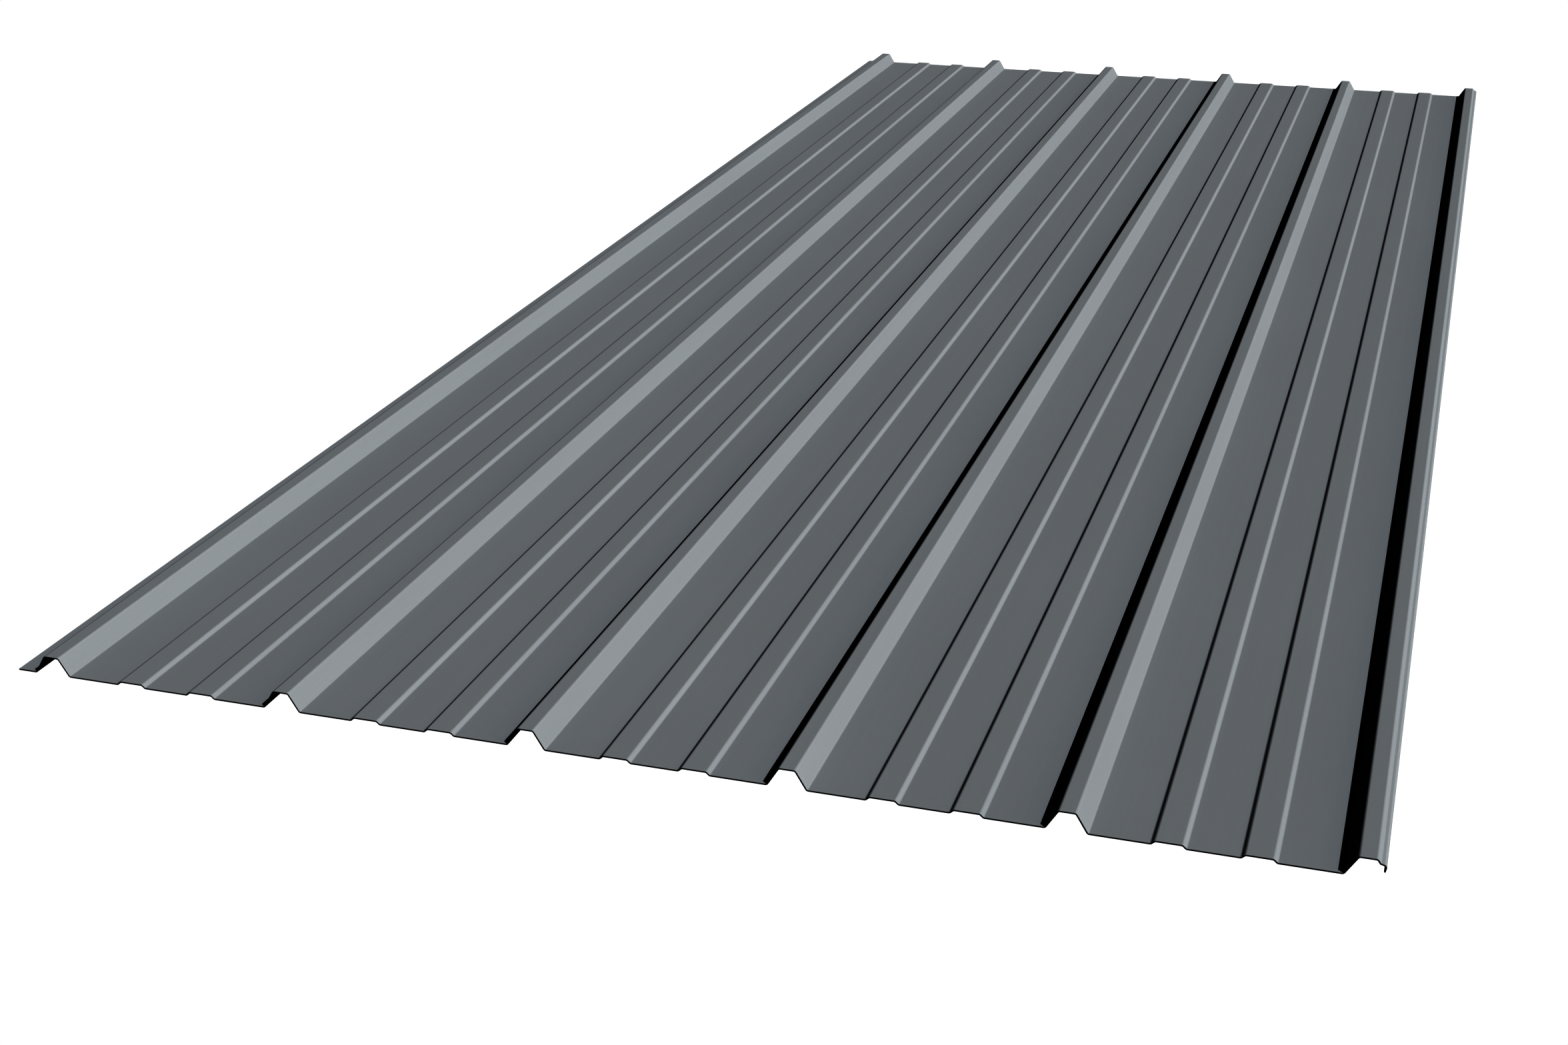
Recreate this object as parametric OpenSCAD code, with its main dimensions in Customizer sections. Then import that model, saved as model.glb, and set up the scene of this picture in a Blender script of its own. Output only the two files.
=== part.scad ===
// Corrugated metal sheet for roofs and walls.
// One coated steel strip, roll-formed into trapezoid ribs with flat pans between them. Low stiffening
// ribs run along each pan. The left edge is a flat flange that lies under the next sheet, and the right
// edge is a rib with a shoulder and a short lip, which closes over the first rib of the next sheet.
// The sheet lies on its pans: X runs across the ribs, Y along them and Z up, and the origin is at the
// middle of the sheet on the underside of the pans. Widths and heights of ribs are measured between the
// sharp corners of the fold line, which runs along the middle of the sheet's thickness.

/* [Sheet] */
// Length of the sheet along its ribs
sheet_length = 2540; // [500:10:6000]
// Thickness of the coated steel
sheet_t = 1; // [0.4:0.05:1.2]
// Inside radius of every fold
fold_r = 1.5; // [0.5:0.25:2.25]
// Colour of the paint coat
coat_colour = "#5e6366"; // [#5e6366:graphite, #b9bcbd:light grey, #6b2f2a:oxide red, #2f4a3a:moss green]

/* [Main ribs] */
// Distance between the middles of neighbouring main ribs
rib_pitch = 200; // [150:1:400]
// Number of pans between main ribs
pan_count = 5; // [1:1:8]
// Depth of the sheet, from the underside of its pans to the top of its main ribs
sheet_depth = 15.3; // [10:0.1:40]
// Width of a main rib at its foot
rib_foot_w = 29.7; // [20:0.1:60]
// Width of a main rib at its crest
rib_crest_w = 12.2; // [5:0.1:20]

/* [Stiffening ribs] */
// Number of stiffening ribs in each pan
stiffener_count = 2; // [1:1:3]
// Distance between the middles of neighbouring stiffening ribs in a pan
stiffener_pitch = 60.5; // [30:0.5:120]
// Height of a stiffening rib above its pan
stiffener_h = 2.4; // [1:0.1:6]
// Width of a stiffening rib at its foot
stiffener_foot_w = 24; // [21:0.5:40]
// Width of a stiffening rib at its crest
stiffener_crest_w = 18.7; // [6:0.1:21.5]

/* [Underlap edge] */
// Width of the flat flange outside the first main rib
flange_w = 16; // [5:0.5:40]

/* [Overlap edge] */
// Height that the outer web of the last main rib falls from its crest to the shoulder
lap_web_drop = 2.9; // [2:0.1:6]
// Width of the shoulder
shoulder_w = 4.2; // [3:0.1:10]
// Fall of the shoulder below level, in degrees
shoulder_fall = 12; // [0:1:30]
// Length of the lip that hangs from the shoulder
lip_length = 4.9; // [3:0.1:9]
// Lean of the lip back under the shoulder, in degrees from plumb
lip_lean = 12; // [0:1:20]

/* [Hidden] */

// Largest turn between neighbouring points of a rounded fold, in degrees
fold_step = 12;

// Heights of the fold line, and its own radius at every fold
half_t = sheet_t / 2;
pan_z = half_t;
crest_z = sheet_depth - half_t;
line_r = fold_r + half_t;

// Corners of one trapezoid rib that rises h from the pans about x, from its left foot to its right foot
function rib(x, foot_w, crest_w, h) = [
    [x - foot_w / 2, pan_z],
    [x - crest_w / 2, pan_z + h],
    [x + crest_w / 2, pan_z + h],
    [x + foot_w / 2, pan_z],
];

// Corners of the main rib with the given number, counted from 0 at the underlap edge
function main_rib(number) = rib(number * rib_pitch, rib_foot_w, rib_crest_w, crest_z - pan_z);

// Middle of a stiffening rib, with the row of them centred in its pan
function stiffener_x(pan, number) =
    (pan + 1 / 2) * rib_pitch + (number - (stiffener_count - 1) / 2) * stiffener_pitch;

// Corners of all the stiffening ribs in one pan
function stiffeners(pan) = [
    for (number = [0 : stiffener_count - 1])
        each rib(stiffener_x(pan, number), stiffener_foot_w, stiffener_crest_w, stiffener_h)
];

// Overlap edge: the last main rib keeps its inner web and crest, and its outer web stops at the shoulder
lap_rib = main_rib(pan_count);
lap_web_slope = (rib_foot_w - rib_crest_w) / 2 / (crest_z - pan_z);
shoulder_start = lap_rib[2] + lap_web_drop * [lap_web_slope, -1];
shoulder_end = shoulder_start + shoulder_w * [1, -tan(shoulder_fall)];
lip_end = shoulder_end - lip_length * [sin(lip_lean), cos(lip_lean)];
lap_edge = [lap_rib[0], lap_rib[1], lap_rib[2], shoulder_start, shoulder_end, lip_end];

// Fold line of the whole section, with sharp corners, from the flange's edge to the lip's edge
flange_edge = main_rib(0)[0] - [flange_w, 0];
fold_line = concat(
    [flange_edge],
    [for (pan = [0 : pan_count - 1]) each concat(main_rib(pan), stiffeners(pan))],
    lap_edge
);
last_corner = len(fold_line) - 1;

// Direction of the fold line from the given corner to the next one, in degrees
function heading(corner) =
    let (step = fold_line[corner + 1] - fold_line[corner])
    atan2(step.y, step.x);

function along(angle) = [cos(angle), sin(angle)];
function left_of(angle) = [-sin(angle), cos(angle)];

// Points that lie off to the left of the fold line round one corner, on an arc about the fold's centre
function rounded_fold(corner, off) =
    let (
        from = heading(corner - 1),
        turn = heading(corner) - from,
        side = sign(turn),
        tangent = line_r * tan(abs(turn) / 2),
        centre = fold_line[corner] - tangent * along(from) + side * line_r * left_of(from),
        steps = ceil(abs(turn) / fold_step)
    )
    [for (i = [0 : steps]) centre + (off - side * line_r) * left_of(from + turn * i / steps)];

// One face of the sheet, off to the left of the fold line, from the flange's edge to the lip's edge
function face(off) = concat(
    [fold_line[0] + off * left_of(heading(0))],
    [for (corner = [1 : last_corner - 1]) each rounded_fold(corner, off)],
    [fold_line[last_corner] + off * left_of(heading(last_corner - 1))]
);

function reversed(points) = [for (i = [len(points) - 1 : -1 : 0]) points[i]];

// Section of the sheet: its underside, then its top face back again
section = concat(face(-half_t), reversed(face(half_t)));
section_xs = [for (point = section) point.x];
middle_x = (min(section_xs) + max(section_xs)) / 2;

// The section drawn out along the ribs, with its box centred on the origin
module corrugated_sheet() {
    color(coat_colour)
        translate([-middle_x, 0, 0])
            rotate([90, 0, 0])
                linear_extrude(sheet_length, center = true)
                    polygon(section);
}

corrugated_sheet();
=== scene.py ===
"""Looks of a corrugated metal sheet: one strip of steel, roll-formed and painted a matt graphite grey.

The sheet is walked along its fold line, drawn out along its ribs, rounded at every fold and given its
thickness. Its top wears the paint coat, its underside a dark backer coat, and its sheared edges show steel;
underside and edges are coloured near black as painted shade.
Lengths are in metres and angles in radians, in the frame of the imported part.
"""

from __future__ import annotations

import logging
import math
from collections import defaultdict
from collections.abc import Iterator
from dataclasses import dataclass
from enum import IntEnum

import bmesh
import bpy
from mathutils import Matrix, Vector

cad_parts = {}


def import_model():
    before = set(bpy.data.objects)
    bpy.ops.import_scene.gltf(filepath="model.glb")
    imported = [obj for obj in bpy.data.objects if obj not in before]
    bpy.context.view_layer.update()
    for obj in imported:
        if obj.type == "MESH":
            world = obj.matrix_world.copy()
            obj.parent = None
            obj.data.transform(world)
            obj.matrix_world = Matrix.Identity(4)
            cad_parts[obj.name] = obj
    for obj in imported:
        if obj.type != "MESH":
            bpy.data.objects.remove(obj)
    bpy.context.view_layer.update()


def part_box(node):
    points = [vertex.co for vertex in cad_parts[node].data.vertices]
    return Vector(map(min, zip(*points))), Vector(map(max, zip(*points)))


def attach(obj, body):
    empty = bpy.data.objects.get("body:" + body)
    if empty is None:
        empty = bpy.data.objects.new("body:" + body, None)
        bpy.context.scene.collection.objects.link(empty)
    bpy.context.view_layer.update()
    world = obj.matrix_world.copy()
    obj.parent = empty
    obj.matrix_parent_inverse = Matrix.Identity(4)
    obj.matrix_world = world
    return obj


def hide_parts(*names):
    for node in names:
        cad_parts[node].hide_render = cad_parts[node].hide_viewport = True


LOG = logging.getLogger("corrugated_sheet")
MM = 0.001
WHITE = (1.0, 1.0, 1.0, 1.0)
BLACK = (0.0, 0.0, 0.0, 1.0)

Colour = tuple[float, float, float]
Place = tuple[float, float, float]
Span = tuple[float, float]


class Face(IntEnum):
    """Faces of the sheet, numbered as its material slots."""

    TOP = 0
    UNDERSIDE = 1
    CUT_EDGE = 2


@dataclass(frozen=True)
class RolledSection:
    """Section that the rolls give to the strip, measured along the middle of its thickness.

    Widths and heights run between the sharp corners that the folds would have without their radius.
    """

    thickness: float = 1 * MM
    fold_radius: float = 1.5 * MM
    fold_step: float = math.radians(8)
    rib_pitch: float = 200 * MM
    pan_count: int = 5
    rib_foot: float = 29.7 * MM
    rib_crest: float = 12.2 * MM
    stiffener_count: int = 2
    stiffener_pitch: float = 60.5 * MM
    stiffener_foot: float = 24 * MM
    stiffener_crest: float = 18.7 * MM
    stiffener_rise: float = 2.4 * MM
    flange: float = 16 * MM
    lap_web_drop: float = 2.9 * MM
    shoulder: float = 4.2 * MM
    shoulder_fall: float = math.radians(12)
    lip: float = 4.9 * MM
    lip_lean: float = math.radians(12)

    @property
    def line_radius(self) -> float:
        """Radius of a fold along the middle of the thickness."""
        return self.fold_radius + self.thickness / 2

    @staticmethod
    def rib_moves(foot: float, crest: float, rise: float) -> Iterator[Vector]:
        """Moves over one trapezoid rib.

        Args:
            foot: Width of the rib where it leaves the pan.
            crest: Width of its flat top.
            rise: Height of that top above the pan.

        Yields:
            The moves up the left web, across the crest and down the right web.
        """
        run = (foot - crest) / 2
        yield Vector((run, 0, rise))
        yield Vector((crest, 0, 0))
        yield Vector((run, 0, -rise))

    def pan_moves(self) -> Iterator[Vector]:
        """Moves across one pan, over the stiffening ribs that are centred in it.

        Yields:
            The moves from the foot of one main rib to the foot of the next.
        """
        between = self.stiffener_pitch - self.stiffener_foot
        row = self.stiffener_count * self.stiffener_foot + (self.stiffener_count - 1) * between
        beside = (self.rib_pitch - self.rib_foot - row) / 2
        yield Vector((beside, 0, 0))
        for number in range(self.stiffener_count):
            if number:
                yield Vector((between, 0, 0))
            yield from self.rib_moves(self.stiffener_foot, self.stiffener_crest, self.stiffener_rise)
        yield Vector((beside, 0, 0))

    def lap_moves(self, rise: float) -> Iterator[Vector]:
        """Moves over the last main rib, whose outer web turns out into a shoulder and a hanging lip.

        Args:
            rise: Height of a main rib's crest above the pans.

        Yields:
            The moves from the last pan to the edge of the lip.
        """
        up, across, down = self.rib_moves(self.rib_foot, self.rib_crest, rise)
        yield up
        yield across
        yield down * (self.lap_web_drop / rise)
        yield Vector((self.shoulder, 0, -self.shoulder * math.tan(self.shoulder_fall)))
        yield Vector((-math.sin(self.lip_lean), 0, -math.cos(self.lip_lean))) * self.lip

    def moves(self, rise: float) -> Iterator[Vector]:
        """Moves along the whole fold line.

        Args:
            rise: Height of a main rib's crest above the pans.

        Yields:
            The moves from the edge of the flange to the edge of the lip.
        """
        yield Vector((self.flange, 0, 0))
        for _ in range(self.pan_count):
            yield from self.rib_moves(self.rib_foot, self.rib_crest, rise)
            yield from self.pan_moves()
        yield from self.lap_moves(rise)


@dataclass(frozen=True)
class Noise:
    """A pattern in a finish: its blotches in a metre along each axis, and its number of finer layers."""

    scale: tuple[float, float, float]
    detail: float


class Shader:
    """One material's node tree, with short ways to add its nodes and join them."""

    noise_middle: Span = (0.3, 0.7)

    def __init__(self, name: str) -> None:
        """Make a material with a surface shader and nothing linked to it.

        Args:
            name: Name of the material.
        """
        self.material = bpy.data.materials.new(name)
        self.material.use_nodes = True
        self.nodes = self.material.node_tree.nodes
        self.surface = self.nodes["Principled BSDF"]
        self.place = self.add("ShaderNodeTexCoord").outputs["Object"]

    def add(self, kind: str, **values: object) -> bpy.types.Node:
        """Add a node and set its inputs.

        Args:
            kind: Blender's name for the kind of node.
            values: Values of its inputs, by name, with underscores for spaces.

        Returns:
            The new node.
        """
        node = self.nodes.new(kind)
        for name, value in values.items():
            node.inputs[name.replace("_", " ")].default_value = value
        return node

    def link(self, source: bpy.types.NodeSocket, target: bpy.types.NodeSocket) -> None:
        """Join one node's output to another's input."""
        self.material.node_tree.links.new(source, target)

    def noise(self, pattern: Noise) -> bpy.types.NodeSocket:
        """Add a noise on the object's own coordinates.

        Args:
            pattern: Scale and detail of the noise.

        Returns:
            The noise, from 0 to 1 about a middle of 0.5.
        """
        stretch = self.add("ShaderNodeMapping", Scale=pattern.scale)
        self.link(self.place, stretch.inputs["Vector"])
        noise = self.add("ShaderNodeTexNoise", Scale=1.0, Detail=pattern.detail)
        self.link(stretch.outputs["Vector"], noise.inputs["Vector"])
        return noise.outputs["Fac"]

    def spread(self, source: bpy.types.NodeSocket, span: Span) -> bpy.types.NodeSocket:
        """Map the middle of a noise, where most of its values lie, to a span.

        Args:
            source: The noise.
            span: The results at the two ends of that middle.

        Returns:
            The mapped value.
        """
        spread = self.add("ShaderNodeMapRange")
        ends = (*self.noise_middle, *span)
        for name, value in zip(("From Min", "From Max", "To Min", "To Max"), ends):
            spread.inputs[name].default_value = value
        self.link(source, spread.inputs["Value"])
        return spread.outputs["Result"]

    def times(self, first: bpy.types.NodeSocket, second: bpy.types.NodeSocket) -> bpy.types.NodeSocket:
        """Multiply two values.

        Args:
            first: One value.
            second: The other value.

        Returns:
            Their product.
        """
        product = self.add("ShaderNodeMath")
        product.operation = "MULTIPLY"
        self.link(first, product.inputs[0])
        self.link(second, product.inputs[1])
        return product.outputs["Value"]

    def shade(self, colour: Colour, brightness: bpy.types.NodeSocket) -> None:
        """Give the surface a colour that a value brightens and darkens.

        Args:
            colour: The colour at a value of 1.
            brightness: The value.
        """
        scaled = self.add("ShaderNodeVectorMath")
        scaled.operation = "SCALE"
        scaled.inputs["Vector"].default_value = colour
        self.link(brightness, scaled.inputs["Scale"])
        self.link(scaled.outputs["Vector"], self.surface.inputs["Base Color"])

    def roughen(self, roughness: bpy.types.NodeSocket) -> None:
        """Give the surface a roughness that varies."""
        self.link(roughness, self.surface.inputs["Roughness"])

    def emboss(self, height: bpy.types.NodeSocket, depth: float) -> None:
        """Give the surface a fine relief.

        Args:
            height: Height of the relief, from 0 to 1.
            depth: Depth of the relief.
        """
        bump = self.add("ShaderNodeBump", Strength=1.0, Distance=depth)
        self.link(height, bump.inputs["Height"])
        self.link(bump.outputs["Normal"], self.surface.inputs["Normal"])


@dataclass(frozen=True)
class PaintCoat:
    """Matt paint on the sheet's top face: faint mottling, streaks from the rolls and a fine orange peel."""

    colour: Colour = (0.1119, 0.1248, 0.1329)
    gloss: float = 0.0
    roughness: Span = (0.7, 0.8)
    mottle: Noise = Noise((5, 3, 5), 4)
    mottle_shades: Span = (0.992, 1.008)
    streaks: Noise = Noise((420, 0.8, 420), 2)
    streak_shades: Span = (0.994, 1.006)
    peel: Noise = Noise((380, 380, 380), 2)
    peel_depth: float = 0.004 * MM

    def material(self) -> bpy.types.Material:
        """Make the paint's nodes.

        Returns:
            The material.
        """
        shader = Shader("paint_coat")
        mottle = shader.spread(shader.noise(self.mottle), self.mottle_shades)
        streaks = shader.noise(self.streaks)
        shader.shade(self.colour, shader.times(mottle, shader.spread(streaks, self.streak_shades)))
        shader.roughen(shader.spread(streaks, self.roughness))
        shader.emboss(shader.noise(self.peel), self.peel_depth)
        shader.surface.inputs["Specular IOR Level"].default_value = self.gloss
        return shader.material


@dataclass(frozen=True)
class BackerCoatWithPaintedShade:
    """Thin dark primer on the sheet's underside, blotched where it dried unevenly; its near-black colour is
    also painted shade, which keeps the insides of the ribs black.
    """

    # Near black: a dark primer, and painted shade for the insides of the ribs.
    colour: Colour = (0.02, 0.021, 0.022)
    gloss: float = 0.1
    roughness: Span = (0.6, 0.8)
    blotches: Noise = Noise((30, 10, 30), 4)
    blotch_shades: Span = (0.8, 1.2)
    grain: Noise = Noise((900, 900, 900), 2)
    grain_depth: float = 0.006 * MM

    def material(self) -> bpy.types.Material:
        """Make the primer's nodes.

        Returns:
            The material.
        """
        shader = Shader("dark_backer_painted_shade")
        blotches = shader.noise(self.blotches)
        shader.shade(self.colour, shader.spread(blotches, self.blotch_shades))
        shader.roughen(shader.spread(blotches, self.roughness))
        shader.emboss(shader.noise(self.grain), self.grain_depth)
        shader.surface.inputs["Specular IOR Level"].default_value = self.gloss
        return shader.material


@dataclass(frozen=True)
class SteelEdgeWithPaintedShade:
    """Bare edge that the shear leaves: steel scored across its thickness, coloured near black as painted
    shade so that the cut edges show as a dark line.
    """

    # Near black: painted shade on the bare steel edge.
    colour: Colour = (0.05, 0.052, 0.055)
    metal: float = 0.6
    roughness: Span = (0.4, 0.6)
    scores: Noise = Noise((1500, 1500, 200), 3)
    score_shades: Span = (0.7, 1.3)
    score_depth: float = 0.01 * MM

    def material(self) -> bpy.types.Material:
        """Make the bare edge's nodes.

        Returns:
            The material.
        """
        shader = Shader("steel_edge_painted_shade")
        scores = shader.noise(self.scores)
        shader.shade(self.colour, shader.spread(scores, self.score_shades))
        shader.roughen(shader.spread(scores, self.roughness))
        shader.emboss(scores, self.score_depth)
        shader.surface.inputs["Metallic"].default_value = self.metal
        return shader.material


@dataclass(frozen=True)
class PaleFloor:
    """Plain white of the floor, which glows evenly and takes no shade."""

    glow: float = 1.03

    def material(self) -> bpy.types.Material:
        """Make the floor's nodes.

        Returns:
            The material.
        """
        shader = Shader("pale_floor")
        shader.surface.inputs["Base Color"].default_value = BLACK
        shader.surface.inputs["Roughness"].default_value = 1
        shader.surface.inputs["Specular IOR Level"].default_value = 0
        shader.surface.inputs["Emission Color"].default_value = WHITE
        shader.surface.inputs["Emission Strength"].default_value = self.glow
        shader.material.cycles.emission_sampling = "NONE"
        return shader.material


@dataclass
class CorrugatedSheet:
    """The whole sheet, which is one piece and fills the box from its low corner to its high one.

    Folds whose angles agree to so many decimal places are rounded together.
    """

    low: Vector
    high: Vector
    section: RolledSection = RolledSection()
    name: str = "rolled_sheet"
    node: str = "corrugated_sheet"
    slot: str = "coated_steel"
    angle_places: int = 3

    @property
    def rise(self) -> float:
        """Height of a main rib's crest above the pans."""
        return self.high.z - self.low.z - self.section.thickness

    @property
    def length(self) -> float:
        """Length of the sheet along its ribs."""
        return self.high.y - self.low.y

    def build(self) -> bpy.types.Object:
        """Model the sheet.

        Returns:
            The sheet's object.
        """
        shell = bmesh.new()
        self.walk_fold_line(shell)
        self.draw_out(shell)
        self.round_folds(shell)
        self.mark_edges(shell)
        mesh = bpy.data.meshes.new(self.name)
        shell.to_mesh(mesh)
        shell.free()
        piece = bpy.data.objects.new(self.name, mesh)
        bpy.context.scene.collection.objects.link(piece)
        self.thicken(piece)
        return piece

    def walk_fold_line(self, shell: bmesh.types.BMesh) -> None:
        """Lead one vertex along the near end's fold line, from the flange to the lip.

        Args:
            shell: The empty mesh.
        """
        start = self.low + Vector((0, 0, self.section.thickness / 2))
        corner = bmesh.ops.create_vert(shell, co=start)["vert"][0]
        for move in self.section.moves(self.rise):
            corner = bmesh.ops.extrude_vert_indiv(shell, verts=[corner])["verts"][0]
            bmesh.ops.translate(shell, verts=[corner], vec=move)

    def draw_out(self, shell: bmesh.types.BMesh) -> None:
        """Draw the fold line out to the far end, with its faces looking up.

        Args:
            shell: The mesh that holds the fold line.
        """
        drawn = bmesh.ops.extrude_edge_only(shell, edges=shell.edges[:])["geom"]
        far_end = [part for part in drawn if isinstance(part, bmesh.types.BMVert)]
        bmesh.ops.translate(shell, verts=far_end, vec=Vector((0, self.length, 0)))
        shell.normal_update()
        if sum(face.normal.z * face.calc_area() for face in shell.faces) < 0:
            bmesh.ops.reverse_faces(shell, faces=shell.faces[:])

    def round_folds(self, shell: bmesh.types.BMesh) -> None:
        """Round every fold to the same radius, one angle of fold after another.

        Args:
            shell: The mesh with sharp folds.
        """
        shell.normal_update()
        folds: dict[float, list[bmesh.types.BMEdge]] = defaultdict(list)
        for edge in shell.edges:
            if not edge.is_boundary:
                folds[round(edge.calc_face_angle(), self.angle_places)].append(edge)
        for turn, edges in folds.items():
            bmesh.ops.bevel(
                shell,
                geom=edges,
                offset=self.section.line_radius * math.tan(turn / 2),
                offset_type="OFFSET",
                affect="EDGES",
                segments=math.ceil(turn / self.section.fold_step),
                profile=0.5,
                material=-1,
            )

    def mark_edges(self, shell: bmesh.types.BMesh) -> None:
        """Shade the faces smooth over the folds, and keep the sheet's own edges sharp.

        Args:
            shell: The mesh with rounded folds.
        """
        for face in shell.faces:
            face.smooth = True
        for edge in shell.edges:
            edge.smooth = not edge.is_boundary

    def thicken(self, piece: bpy.types.Object) -> None:
        """Give the shell its thickness, half to each side, with a finish for each face.

        Args:
            piece: The sheet's object.
        """
        solid = piece.modifiers.new("thickness", "SOLIDIFY")
        solid.thickness = self.section.thickness
        solid.offset = 0
        solid.use_even_offset = True
        solid.material_offset = Face.UNDERSIDE
        solid.material_offset_rim = Face.CUT_EDGE
        even = piece.modifiers.new("flat_pans", "WEIGHTED_NORMAL")
        even.keep_sharp = True

    def dress(self, piece: bpy.types.Object) -> None:
        """Give the sheet its finishes and its place in the frame.

        Args:
            piece: The sheet's object.
        """
        finishes = {Face.TOP: PaintCoat(), Face.UNDERSIDE: BackerCoatWithPaintedShade(), Face.CUT_EDGE: SteelEdgeWithPaintedShade()}
        for face in Face:
            piece.data.materials.append(finishes[face].material())
        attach(piece, "root")
        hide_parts(self.node)


@dataclass(frozen=True)
class SkyLight:
    """A distant light.

    Its height is an angle above the floor, its bearing an angle from +X towards +Y, and its spread its width.
    """

    name: str
    height: float
    bearing: float
    strength: float
    spread: float
    colour: Colour

    def place(self) -> None:
        """Hang the light and turn it towards the sheet."""
        lamp = bpy.data.lights.new(self.name, "SUN")
        lamp.energy = self.strength
        lamp.color = self.colour
        lamp.angle = self.spread
        holder = bpy.data.objects.new(self.name, lamp)
        holder.rotation_euler = (0, math.pi / 2 - self.height, self.bearing)
        bpy.context.scene.collection.objects.link(holder)


@dataclass(frozen=True)
class Camera:
    """The camera, looking down along the ribs from the near end."""

    place: Place = (0.51726, -2.59, 0.7856)
    look_down: float = math.radians(22.82)
    turn_left: float = math.radians(17.251)
    lens_mm: float = 51.17
    sensor_mm: float = 36.0

    def aim(self) -> None:
        """Put the camera in its place and make it the scene's own."""
        lens = bpy.data.cameras.new("camera")
        lens.lens = self.lens_mm
        lens.sensor_width = self.sensor_mm
        holder = bpy.data.objects.new("camera", lens)
        holder.location = self.place
        holder.rotation_euler = (math.pi / 2 - self.look_down, 0, self.turn_left)
        bpy.context.scene.collection.objects.link(holder)
        bpy.context.scene.camera = holder


@dataclass
class Studio:
    """A white studio: a wide pale floor, a white backdrop and soft light from the lip's side."""

    floor_half: float = 60.0
    floor_drop: float = 0.05 * MM
    contrast: float = 1.4
    key: SkyLight = SkyLight(
        name="key",
        height=math.radians(47.8),
        bearing=math.radians(-15.2),
        strength=15.93,
        spread=math.radians(1),
        colour=(1.065, 1, 0.98),
    )
    softbox: SkyLight = SkyLight(
        name="softbox",
        height=math.radians(30),
        bearing=0,
        strength=1.88,
        spread=math.radians(50),
        colour=(1.25, 1, 0.742),
    )

    def build(self) -> None:
        """Make the floor, the backdrop, the lights and the camera, and set the picture's contrast."""
        self.lay_floor()
        self.hang_backdrop()
        self.key.place()
        self.softbox.place()
        Camera().aim()
        bpy.context.scene.view_settings.view_transform = "Raw"
        bpy.context.scene.view_settings.gamma = 1 / self.contrast

    def lay_floor(self) -> None:
        """Lay the pale floor just under the sheet, hidden from the gloss of the cut edges."""
        slab = bmesh.new()
        bmesh.ops.create_grid(slab, x_segments=1, y_segments=1, size=self.floor_half)
        bmesh.ops.translate(slab, verts=slab.verts[:], vec=Vector((0, 0, -self.floor_drop)))
        mesh = bpy.data.meshes.new("floor")
        slab.to_mesh(mesh)
        slab.free()
        mesh.materials.append(PaleFloor().material())
        floor = bpy.data.objects.new("floor", mesh)
        bpy.context.scene.collection.objects.link(floor)
        floor.visible_glossy = False

    def hang_backdrop(self) -> None:
        """Make the world white to the camera and dark to everything else, so that it lights nothing."""
        world = bpy.data.worlds.new("backdrop")
        world.use_nodes = True
        tree = world.node_tree
        path = tree.nodes.new("ShaderNodeLightPath")
        backdrop = tree.nodes["Background"]
        backdrop.inputs["Color"].default_value = WHITE
        tree.links.new(path.outputs["Is Camera Ray"], backdrop.inputs["Strength"])
        bpy.context.scene.world = world


def main() -> None:
    """Build the sheet and the studio round it, and log the sheet's length."""
    logging.basicConfig(level=logging.INFO, format="%(name)s: %(message)s")
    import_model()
    sheet = CorrugatedSheet(*map(Vector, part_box(CorrugatedSheet.node)))
    piece = sheet.build()
    sheet.dress(piece)
    LOG.info("%s stands for %s, %.3f m long", piece.name, sheet.node, sheet.length)
    Studio().build()
    LOG.info("studio lit and camera set")


if __name__ == "__main__":
    main()
